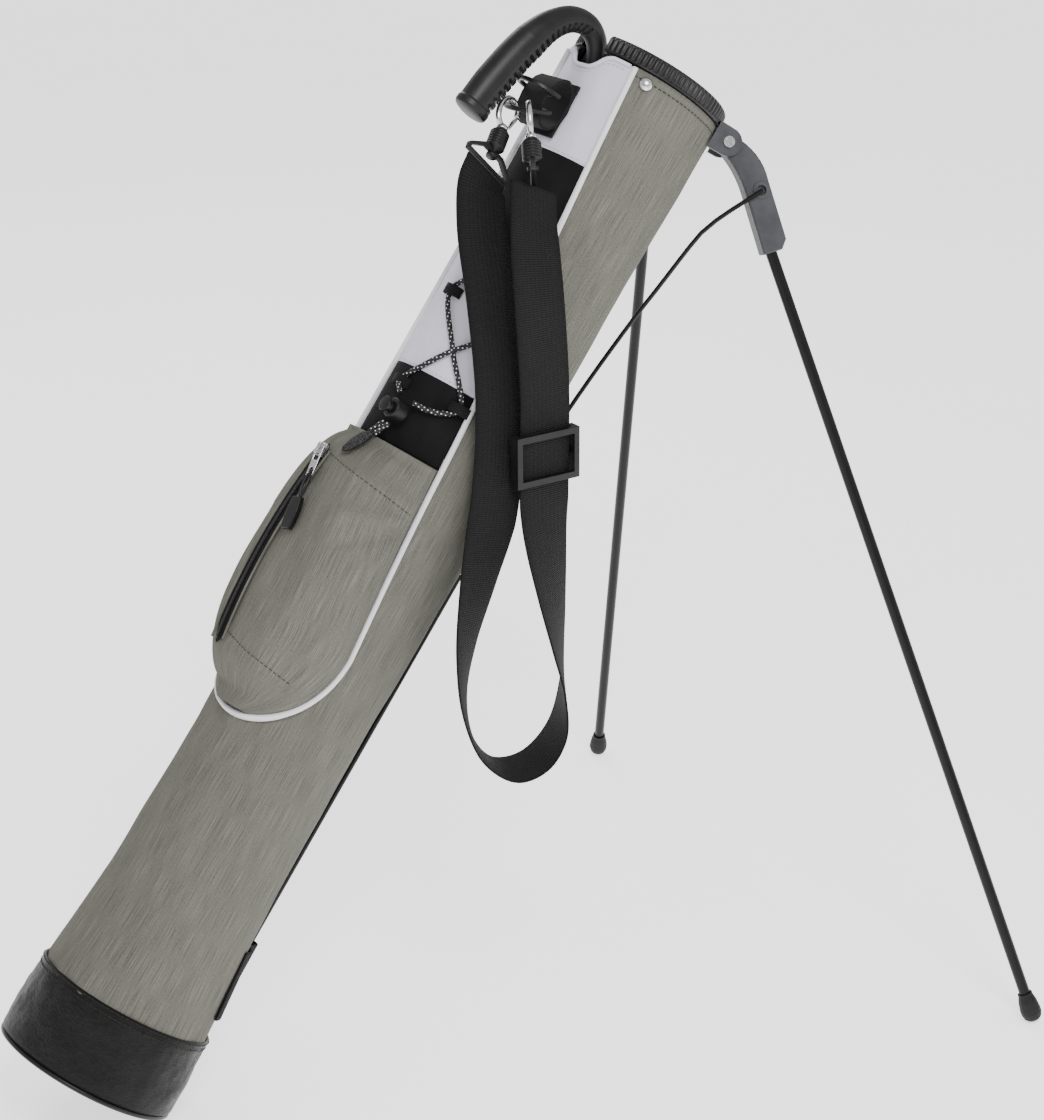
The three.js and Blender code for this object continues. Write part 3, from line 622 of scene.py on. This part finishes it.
def build_strap_set():
    strap, path = build_strap()
    hooks = build_hook(1) + build_hook(2)
    for name in ("hook_eye_1", "hook_eye_2", "tri_glide", "d_ring_1", "d_ring_2"):
        dress(name, "plastic", 0.9)
    dress("hook_gate_1", "nickel", 0)
    dress("hook_gate_2", "nickel", 0)
    row_path = [GROUND @ p for p in path]
    length = path_length(row_path)
    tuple(row_path[0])


# ---- frame parts that stay ----
def dress(node, look, edge_mm=0.0, angle=40):
    """Gives a CAD node its procedural material, smooth shading and softened edges."""
    piece = frame["nodes"][node]
    piece.data.materials.clear()
    piece.data.materials.append(LOOK[look])
    bpy.context.view_layer.objects.active = piece
    if edge_mm:
        weld = piece.modifiers.new("weld", "WELD")
        weld.merge_threshold = 0.00002
        round_edges(piece, edge_mm)
    piece.data.polygons.foreach_set("use_smooth", [True] * len(piece.data.polygons))
    if edge_mm:
        piece.modifiers.new("normals", "WEIGHTED_NORMAL").keep_sharp = True
    else:
        piece.data.set_sharp_from_angle(angle=math.radians(angle))


def dress_frame():
    for side in ("near", "far"):
        dress(f"leg_head_{side}", "slate", 1.0)
        dress(f"leg_bracket_{side}", "slate", 0.7)
        dress(f"leg_pin_{side}", "nickel")
        dress(f"leg_tube_{side}", "paint")
        dress(f"leg_foot_{side}", "rubber", 0, 60)
        dress(f"wire_{side}", "paint", 0, 60)
    dress("actuator_rod", "paint")
    dress("actuator_foot", "rubber", 0.5)
    dress("actuator_yoke", "plastic", 0.7)
    dress("stay_rod", "plastic")
    dress("handle_mount", "collar", 0.8)
    dress("handle_screw", "nickel", 0.2)
    dress("lock_body", "plastic", 0.5)
    dress("lock_button", "plastic", 0.5)
    dress("zip_slider", "nickel", 0.4)
    dress("zip_puller", "nickel", 0.3)
    dress("pull_tab", "plastic", 0.8)
    dress("strap_tab", "web", 0.5)


# ---- cloth ----
def soft_fold(phi, s, size=1.0):
    """Slow waves of slack cloth, in millimetres, stronger near the waist than at the ends."""
    turn = math.radians(phi)
    spot = Vector((2.2 * math.cos(turn), 2.2 * math.sin(turn), s * 0.011))
    wave = noise.noise(spot) * 1.5 + noise.noise(spot * 2.7) * 0.6
    gather = 0.45 * math.sin(turn * 15 + 2 * noise.noise(spot)) * math.exp(-((s - BOOT_HEIGHT) / 26) ** 2)
    hold = min(1.0, max(0.0, (FABRIC_TOP - s) / 60))
    return size * (wave * (0.35 + 0.65 * hold) + gather)


def build_sleeve():
    """The heather cloth tube, open at the spine under the handle."""
    low, high = BOOT_HEIGHT - 3.5, FABRIC_TOP - 0.6

    def place(u, v):
        s = low + v * (high - low)
        phi = 360 * u
        return on_bag(phi, s, soft_fold(phi, s) - 0.4)

    def keep(u, v):
        s = low + v * (high - low)
        phi = (360 * u + 180) % 360 - 180
        return not (s > 540 and far_edge(s) + 1 < phi < near_edge(s) - 1)

    mesh = grid_mesh("cloth_sleeve", 150, 230, place, closed=True, keep=keep, scale=(390, high - low))
    sleeve = finish_piece("cloth_sleeve", mesh, ("grey", "lining"), "bag", BAG)
    thicken(sleeve, 1.4, inner_slot=1)
    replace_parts(sleeve, "panel_near", "panel_far", "panel_lower_back")


def spine_panel(name, look, low, high, node, notched=False, lift=0.2):
    """A panel between the two piped edges; a notched one dips round the handle at its top."""
    def place(u, v):
        top = high - (13 * math.exp(-((u - 0.5) / 0.2) ** 4) if notched else 0)
        s = low + v * (top - low)
        phi = far_edge(s) + u * (near_edge(s) - far_edge(s))
        pinch = 1 - abs(2 * u - 1) ** 6
        return on_bag(phi, s, lift - 0.7 * (1 - pinch) + soft_fold(phi, s, 0.6) * pinch)

    mesh = grid_mesh(name, 60, max(12, int((high - low) / 2.5)), place, scale=(100, high - low))
    panel = finish_piece(name, mesh, look, "bag", BAG)
    thicken(panel, 1.2)
    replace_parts(panel, node)
    return place


def edge_path(place, v, count=50):
    return [place(k / count, v) for k in range(count + 1)]


def build_spine_panels():
    spine_panel("black_band", "black", 530, 590.5, "panel_black_band")
    lower = spine_panel("white_lower", "white", 590, 700.5, "panel_white_lower", lift=0.5)
    spine_panel("black_upper", "black", 700, 781.5, "panel_black_upper")
    top = spine_panel("white_top", "white", 781, 864, "panel_white_top", notched=True,
                      lift=0.5)
    hem = [p + Vector((-0.9, 0, -0.6)) for p in edge_path(top, 1.0)]
    binding = tube("top_binding", smooth_path(hem[::3], 60), 1.6, "white", "bag")
    rows = {"hem_stitch": [p + Vector((-0.9, 0, -5)) for p in edge_path(top, 1.0)][3:-3],
            "band_stitch_1": [p + Vector((-0.5, 0, 2)) for p in edge_path(lower, 0.0)][4:-4],
            "band_stitch_2": [p + Vector((-0.5, 0, -2)) for p in edge_path(lower, 1.0)][4:-4],
            "band_stitch_3": [p + Vector((-0.5, 0, 2)) for p in edge_path(top, 0.0)][4:-4]}
    for name, path in rows.items():
        row = stitches(name, path, "bag", "pale_thread", width=0.25)


def piping_route(lift):
    points = []
    for k in range(9):
        s = FABRIC_TOP - 2 - 60.8 * k
        points.append(on_bag(near_edge(s), s, lift))
    for turn in range(0, 181, 15):
        phi = SPINE_TURN + U_HALF * math.cos(math.radians(turn))
        points.append(on_bag(phi, U_TOP - U_DROP * math.sin(math.radians(turn)), lift))
    for k in range(8, -1, -1):
        s = FABRIC_TOP - 2 - 60.8 * k
        points.append(on_bag(far_edge(s), s, lift))
    return points


def build_piping():
    path = smooth_path(piping_route(2.4), 420)
    piping = tube("white_piping", path, 2.3, "piping", "bag", sides=14)
    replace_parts(piping, "spine_piping")
    flat = smooth_path(piping_route(0.9), 420)
    across = lambda share, turn: (3.2 * math.cos(turn), 0.5 * math.sin(turn))
    mesh = sweep_mesh("piping_tape", flat, across, 8, side=(1, 0, 0))
    tape = finish_piece("piping_tape", mesh, "piping", "bag", BAG)


def build_top_stitch():
    """A dark stitch line under the cloth's top edge, and two above the boot."""
    top = [on_bag(phi, FABRIC_TOP - 7, 0.5 + soft_fold(phi, FABRIC_TOP - 7)) for phi in range(42, 319, 4)]
    row = stitches("top_stitch", top, "bag")
    for k, s in enumerate((BOOT_HEIGHT + 1.2, BOOT_HEIGHT - 3.4)):
        ring = [on_bag(phi, s, 1.9 if k == 0 else 1.5) for phi in range(0, 361, 4)]
        row = stitches(f"boot_stitch_{k + 1}", ring, "bag")


# ---- pocket ----
POCKET_LOW, POCKET_HIGH = 303, 529.5
POCKET_COLUMNS, POCKET_ROWS = 90, 100
CREASES = [
    ((0.98, 0.81), (0.55, 0.69), 0.030, 4.4), ((0.98, 0.78), (0.68, 0.61), 0.022, -3.7),
    ((0.96, 0.85), (0.45, 0.86), 0.028, 3.7), ((0.99, 0.73), (0.80, 0.52), 0.026, 3.1),
    ((0.30, 0.89), (0.70, 0.91), 0.030, -2.7), ((0.35, 0.19), (0.75, 0.15), 0.024, 2.7),
    ((0.15, 0.35), (0.20, 0.65), 0.022, -2.0), ((0.80, 0.29), (0.92, 0.47), 0.030, 2.2),
]
SEAMS = [((0.42, 0.86), (0.97, 0.81)), ((0.34, 0.19), (0.84, 0.14))]


def line_share(u, w, start, end):
    """How far a pocket point is from a line, and how far along the line it lies."""
    a, b, p = Vector(start), Vector(end), Vector((u, w))
    ahead = b - a
    share = min(1.0, max(0.0, (p - a).dot(ahead) / ahead.length_squared))
    return (p - a - ahead * share).length, share


def pocket_point(u, w):
    s = POCKET_LOW + w * (POCKET_HIGH - POCKET_LOW)
    drop = math.sqrt(max(0.0, 1 - (max(U_TOP - s, 0) / U_DROP) ** 2))
    middle = along(SPINE_LINE, s)
    phi = middle + (2 * u - 1) * ((near_edge(s) - middle) * drop - 2.5)
    swell = lambda t, power: max(0.0, math.sin(math.pi * (0.01 + 0.98 * t))) ** power
    rise = min(1.0, max(0.0, (s - 316) / 208))
    lift = 0.6 + 45.5 * swell(u, 0.6) * swell(rise, 0.36)
    inside = min(1.0, 22 * min(u, 1 - u, w, 1 - w))
    for start, end, width, height in CREASES:
        gap, share = line_share(u, w, start, end)
        lift += inside * height * math.exp(-(gap / width) ** 2) * (1 - share) ** 0.5
    for start, end in SEAMS:
        gap, share = line_share(u, w, start, end)
        lift -= inside * 1.8 * math.exp(-(gap / 0.012) ** 2)
    point = on_bag(phi, s, lift)
    limit = -(ZIP_X - 1.6)
    if point.x < limit + 3:
        blend = (limit + 3 - point.x) / 6
        point.x = limit + 3 - 3 * math.tanh(2 * blend)
    ripple = noise.noise(Vector((u * 6, w * 8, 1.7))) * 1.1 * inside
    return point + Vector((-0.2, -0.7, 0)) * ripple


def build_pocket():
    mesh = grid_mesh("pocket_cloth", POCKET_COLUMNS, POCKET_ROWS, pocket_point, scale=(150, 227))
    pocket = finish_piece("pocket_cloth", mesh, "grey", "bag", BAG)
    puff(pocket)
    thicken(pocket, 1.2)
    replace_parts(pocket, "pocket")
    for k, (start, end) in enumerate(SEAMS):
        path = []
        for i in range(41):
            u, w = Vector(start).lerp(Vector(end), i / 40)
            path.append(pocket_point(u, w + 0.018) + Vector((-0.45, -0.35, 0.1)))
        row = stitches(f"pocket_stitch_{k + 1}", path, "bag", width=0.25)


def puff(pocket):
    """A short cloth run lets the pocket's cloth settle with a little air behind it."""
    zip_line = [BAG @ on_zip(turn) for turn in range(-ZIP_HALF - 1, ZIP_HALF + 2)]
    before = [v.co.copy() for v in pocket.data.vertices]
    held = pocket.vertex_groups.new(name="held")
    for k, vertex in enumerate(pocket.data.vertices):
        j, i = divmod(k, POCKET_COLUMNS + 1)
        border = min(i, POCKET_COLUMNS - i, j, POCKET_ROWS - j) < 3
        if border or min((vertex.co - p).length for p in zip_line) < 12 * MM:
            held.add([k], 1.0, "REPLACE")
    cloth = pocket.modifiers.new("cloth", "CLOTH")
    cloth.settings.quality = 5
    cloth.settings.mass = 0.2
    cloth.settings.vertex_group_mass = "held"
    cloth.settings.use_pressure = True
    cloth.settings.uniform_pressure_force = 1.2
    cloth.settings.tension_stiffness = 25
    cloth.settings.bending_stiffness = 0.4
    cloth.settings.effector_weights.gravity = 0
    cloth.collision_settings.use_collision = False
    for step in range(1, 17):
        bpy.context.scene.frame_set(step)
    moved = pocket.evaluated_get(bpy.context.evaluated_depsgraph_get()).data
    after = [v.co.copy() for v in moved.vertices]
    pocket.modifiers.remove(cloth)
    bpy.context.scene.frame_set(1)
    cap = 4 * MM
    for vertex, old, new in zip(pocket.data.vertices, before, after):
        step = new - old
        vertex.co = old + step * min(1.0, cap / max(step.length, 1e-9))


# ---- zip ----
def build_zip():
    def tape(name, low, high, lift):
        def place(u, v):
            turn = (2 * u - 1) * (ZIP_HALF + 0.6)
            taper = min(1.0, 9 * min(u, 1 - u)) ** 0.5
            radius = ZIP_RADIUS + (low + v * (high - low)) * taper
            return on_zip(turn, radius, ZIP_X + lift + 0.4 * math.sin(math.pi * v))
        mesh = grid_mesh(name, 90, 6, place, scale=(176, 12))
        piece = finish_piece(name, mesh, "web", "bag", BAG)
        thicken(piece, 0.9)
        return piece

    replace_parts(tape("zip_tape", -6.5, 6.5, 0.2), "zipper_tape")
    lips = {"zip_lip_inner": (-9.0, -5.6), "zip_lip_outer": (5.6, 9.0)}
    for name, (low, high) in lips.items():
        path = [on_zip(t, ZIP_RADIUS + (low + high) / 2, ZIP_X + 0.7) for t in range(-ZIP_HALF, ZIP_HALF + 1)]
        across = lambda share, turn: (0.9 * math.cos(turn), 1.0 * math.sin(turn))
        lip = finish_piece(name, sweep_mesh(name, path, across, 10, side=(1, 0, 0)), "grey", "bag", BAG)
    build_teeth()


def build_teeth():
    """Coil teeth: small rounded bars that meet along the zip's line, in two rows."""
    verts, faces = [], []
    pitch = 1.5
    count = int(math.radians(2 * ZIP_HALF) * ZIP_RADIUS / pitch)
    for k in range(count):
        for row in (0, 1):
            turn = -ZIP_HALF + (k + 0.5 * row) / count * 2 * ZIP_HALF
            base = len(verts)
            for share in (0.0, 0.35, 0.7, 1.0):
                radius = ZIP_RADIUS + (share * 2.6 - 0.5) * (1 if row else -1)
                size = (0.4, 0.55, 0.55, 0.3)[int(share * 3)]
                middle = on_zip(turn, radius, ZIP_X + 1.5)
                along_zip = (on_zip(turn + 0.1, radius) - on_zip(turn, radius)).normalized()
                for q in range(6):
                    angle = math.pi * q / 3
                    verts.append(tuple(middle + along_zip * math.cos(angle) * size
                                       + Vector((-1, 0, 0)) * math.sin(angle) * size))
            for ring in range(3):
                for q in range(6):
                    r = (q + 1) % 6
                    at = base + 6 * ring
                    faces.append((at + q, at + r, at + 6 + r, at + 6 + q))
            faces.append(tuple(base + q for q in reversed(range(6))))
            faces.append(tuple(base + 18 + q for q in range(6)))
    mesh = bpy.data.meshes.new("zip_teeth")
    mesh.from_pydata(verts, [], faces)
    finish_piece("zip_teeth", mesh, "plastic", "bag", BAG)


def build_pull_loop():
    """The doubled cord between the puller and its moulded tab."""
    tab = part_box("pull_tab")
    cord_low, cord_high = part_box("pull_cord")
    back = BAG.to_3x3() @ Vector((-1, 0, 0)) / MM
    high = Vector((cord_high.x, (cord_low.y + cord_high.y) / 2, cord_high.z))
    low = Vector((cord_low.x, (tab[0].y + tab[1].y) / 2, cord_low.z))
    mm = lambda p: p / MM
    high, low = mm(high), mm(low)
    for k, spread in enumerate((-2.2, 2.2)):
        points = [high, high.lerp(low, 0.3) + Vector((0, spread, 0)) + back,
                  high.lerp(low, 0.7) + Vector((0, spread, 0)) + back, low]
        strand = tube(f"pull_strand_{k + 1}", smooth_path(points, 24), 1.1, "plastic", "zip_puller",
                      Matrix.Diagonal((MM, MM, MM, 1)), 10)
        if k == 0:
            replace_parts(strand, "pull_cord")


# ---- boot and base ----
def build_base():
    inner = BASE_RADIUS - 6
    cup = [(0, 0.6), (BASE_RADIUS - 8, 0.6), (BASE_RADIUS - 5, 0.3), (BASE_RADIUS - 2, 0.1),
           (BASE_RADIUS - 0.6, 0.7), (BASE_RADIUS, 2), (BASE_RADIUS - 0.4, 3.4), (BASE_RADIUS - 1.5, 4),
           (inner, 5), (inner - 2, 40),
           (inner - 4.5, 40), (inner - 5, 6), (0, 6)]
    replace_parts(lathe_piece("base_shell", cup, "plastic", "bag", BAG, 96), "base_cup")

    def crease(phi, r, z):
        turn = math.radians(phi)
        spot = Vector((3 * math.cos(turn), 3 * math.sin(turn), z * 0.05))
        upper = min(1.0, max(0.0, (z - 8) / 12)) * min(1.0, max(0.0, (BOOT_HEIGHT + 1 - z) / 6))
        return (noise.noise(spot) * 1.6 + noise.noise(spot * 3.1) * 0.7) * upper * (r > 70)

    boot = [(inner + 0.6, 5), (BASE_RADIUS - 2, 4.3), (BASE_RADIUS - 0.6, 4.6), (BASE_RADIUS + 0.2, 6)]
    boot += [(BASE_RADIUS + 0.3 - 0.0006 * (z - 6) ** 2, z) for z in range(8, BOOT_HEIGHT + 1, 4)]
    boot += [(71.4, BOOT_HEIGHT + 0.6), (71.4, BOOT_HEIGHT + 2.2), (70.6, BOOT_HEIGHT + 3),
             (69.3, BOOT_HEIGHT + 2.8), (68.6, BOOT_HEIGHT), (inner + 0.6, 5)]
    mesh = turned_mesh("boot_leather", boot, 200, crease)
    piece = finish_piece("boot_leather", mesh, "hide", "bag", BAG)
    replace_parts(piece, "base_boot")


# ---- collar and handle ----
def build_collar():
    """The ribbed ring and its sleeve, open for the handle."""
    def rib(phi, r, z):
        band = 1.0 if FABRIC_TOP + 2.6 < z < LENGTH - 1.5 and r > 62 else 0.0
        wave = 0.5 - 0.5 * math.cos(math.radians(phi) * RIBS)
        return -1.3 * band * wave ** 1.6

    outer = [(56, 826), (60.2, 826), (60.2, FABRIC_TOP + 0.4), (64, FABRIC_TOP + 0.4), (64.6, FABRIC_TOP + 1),
             (64.5, FABRIC_TOP + 1.8), (63.6, FABRIC_TOP + 2.3), (64.1, FABRIC_TOP + 2.9),
             (64.5, FABRIC_TOP + 4),
             (64.5, FABRIC_TOP + 7), (64.5, FABRIC_TOP + 10.5), (64, FABRIC_TOP + 12), (63, LENGTH - 1),
             (61.5, LENGTH), (58, LENGTH), (56.6, LENGTH - 0.8), (56, LENGTH - 2.5), (56, 850), (56, 826)]
    notch = 13
    mesh = turned_mesh("collar_ring", outer, RIBS * 8, rib, start=notch, sweep=360 - 2 * notch)
    ring = finish_piece("collar_ring", mesh, "collar", "bag", BAG)
    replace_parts(ring, "collar")


HANDLE_ROUTE = [(-52, 838), (-53, 856), (-62, 871), (-76, 877), (-92, 873), (-106, 859), (-117, 834),
                (-125, 803), (-131, 770)]
HANDLE_GIRTH = [(0, 7), (0.3, 9), (0.45, 11), (0.6, 14), (0.85, 14.5), (0.955, 13.8), (0.965, 14.6),
                (0.985, 14.4), (0.994, 13.4), (1, 11)]


NOTCH_PITCH, NOTCH_WIDTH, NOTCH_DEPTH = 6.2, 2.9, 3.0


def build_handle():
    """The grip, with square notches along its underside and a mould line on each flank."""
    path = smooth_path([(x, 0, s) for x, s in HANDLE_ROUTE], 560)
    length = path_length(path)

    def section(share, turn):
        r = along(HANDLE_GIRTH, share)
        under = -math.cos(turn)
        notched = 0.26 < share < 0.955 and (share * length % NOTCH_PITCH) < NOTCH_WIDTH
        if notched and under > 0.2:
            r -= NOTCH_DEPTH * min(1.0, (under - 0.2) / 0.12)
        if abs(under) < 0.06:
            r += 0.35
        if share > 0.998:
            r *= 0.93
        return r * math.cos(turn), r * 0.88 * math.sin(turn)

    mesh = sweep_mesh("grip", path, section, 72, side=(0, 1, 0))
    grip = finish_piece("grip", mesh, "grip", "bag", BAG)
    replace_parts(grip, "handle_grip")


def build_rivets():
    for name, phi in (("near", 52), ("far", -48)):
        out = on_bag(phi, 857)
        out.z = 0
        turn = Vector((0, 0, 1)).rotation_difference(out.normalized()).to_matrix().to_4x4()
        place = BAG @ Matrix.Translation(on_bag(phi, 857, 0.9)) @ turn
        profile = [(0, -0.6), (5, -0.6), (5.2, 0), (4.9, 0.7), (4.2, 1.6), (3.1, 2.3), (1.6, 2.8), (0, 2.9)]
        dome = lathe_piece(f"rivet_dome_{name}", profile, "nickel", "bag", place)
        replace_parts(dome, f"rivet_{name}")


# ---- elastic cord ----
LOOPS = [(52, 577), (1, 654), (43, 700), (47, 640), (1, 576)]


def build_lacing():
    lift = 4.4
    route = [on_bag(24, 565, 9.5), on_bag(32, 565, lift + 2), on_bag(44, 569, lift)]
    for k, (phi, s) in enumerate(LOOPS):
        route.append(on_bag(phi, s, lift))
        if k + 1 < len(LOOPS):
            after = LOOPS[k + 1]
            route.append(on_bag((phi + after[0]) / 2, (s + after[1]) / 2, lift))
    route += [on_bag(6, 572, lift + 3), on_bag(12, 567, 9.5)]
    lace = tube("elastic_lace", smooth_path(route, 300), 2, "braid", "bag")
    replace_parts(lace, "bungee_cord")
    for k, (phi, s) in enumerate(LOOPS):
        build_lace_loop(k + 1, phi, s)
    for k, turn in enumerate((-1.7, 1.7)):
        stops = ((16.5, 542.5, 12.5), (15.5, 537, 15.5), (14.5, 530, 18.5))
        tail = [on_bag(phi + turn, s, out) for phi, s, out in stops]
        strand = tube(f"lace_tail_{k + 1}", smooth_path(tail, 24), 1.9, "braid", "bag")
        if k == 0:
            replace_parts(strand, "bungee_tail")

    def end_tab(u, v):
        around = 2 * math.pi * u
        width = (0.75 + 0.25 * math.sin(math.pi * min(1, v * 1.2))) * (0.4 + 0.6 * min(1, 8 * v, 8 * (1 - v)))
        centre = on_bag(14.5 - 1.5 * v, 531 - 23 * v, 19.5 + 14 * v)
        tall = Vector((-0.83, -0.2, -0.5)).normalized()
        across = Vector((-0.2, 0.98, 0)).normalized()
        return centre + across * 6.5 * width * math.cos(around) + tall * 2.6 * width * math.sin(around)

    mesh = grid_mesh("lace_end", 24, 20, end_tab, closed=True, scale=(40, 24))
    cap_ends(mesh, 24)
    tab = finish_piece("lace_end", mesh, "hide", "bag", BAG)
    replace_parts(tab, "bungee_end")


def build_lace_loop(number, phi, s):
    """A short web loop that rises over the lace and is sewn down at both ends."""
    def place(u, v):
        bump = math.sin(math.pi * u) ** 0.7 * 6.6
        return on_bag(phi - 8 + 16 * u, s - 4 + 8 * v, 0.9 + bump)

    mesh = grid_mesh(f"lace_loop_{number}", 20, 6, place, scale=(20, 8))
    loop = finish_piece(f"lace_loop_{number}", mesh, "web", "bag", BAG)
    thicken(loop, 1.0, offset=1.0)
    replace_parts(loop, f"bungee_loop_{number}")


def build_retainer():
    over_rod = ACTUATOR_X + 3.6

    def place(u, v):
        phi = 126 + u * 108
        s = 86 + v * 56
        bump = math.exp(-(((phi - 180) / 13) ** 2))
        return on_bag(phi, s, 1.2 + bump * (over_rod - 1.4 - cloth_radius(s)))

    mesh = grid_mesh("retainer_strip", 90, 24, place, scale=(150, 56))
    strip = finish_piece("retainer_strip", mesh, "black", "bag", BAG)
    thicken(strip, 1.5, offset=1.0)
    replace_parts(strip, "retainer_band")


build_strap_set()
dress_frame()
build_sleeve()
build_spine_panels()
build_piping()
build_top_stitch()
build_pocket()
build_zip()
build_pull_loop()
build_base()
build_collar()
build_handle()
build_rivets()
build_lacing()
build_retainer()
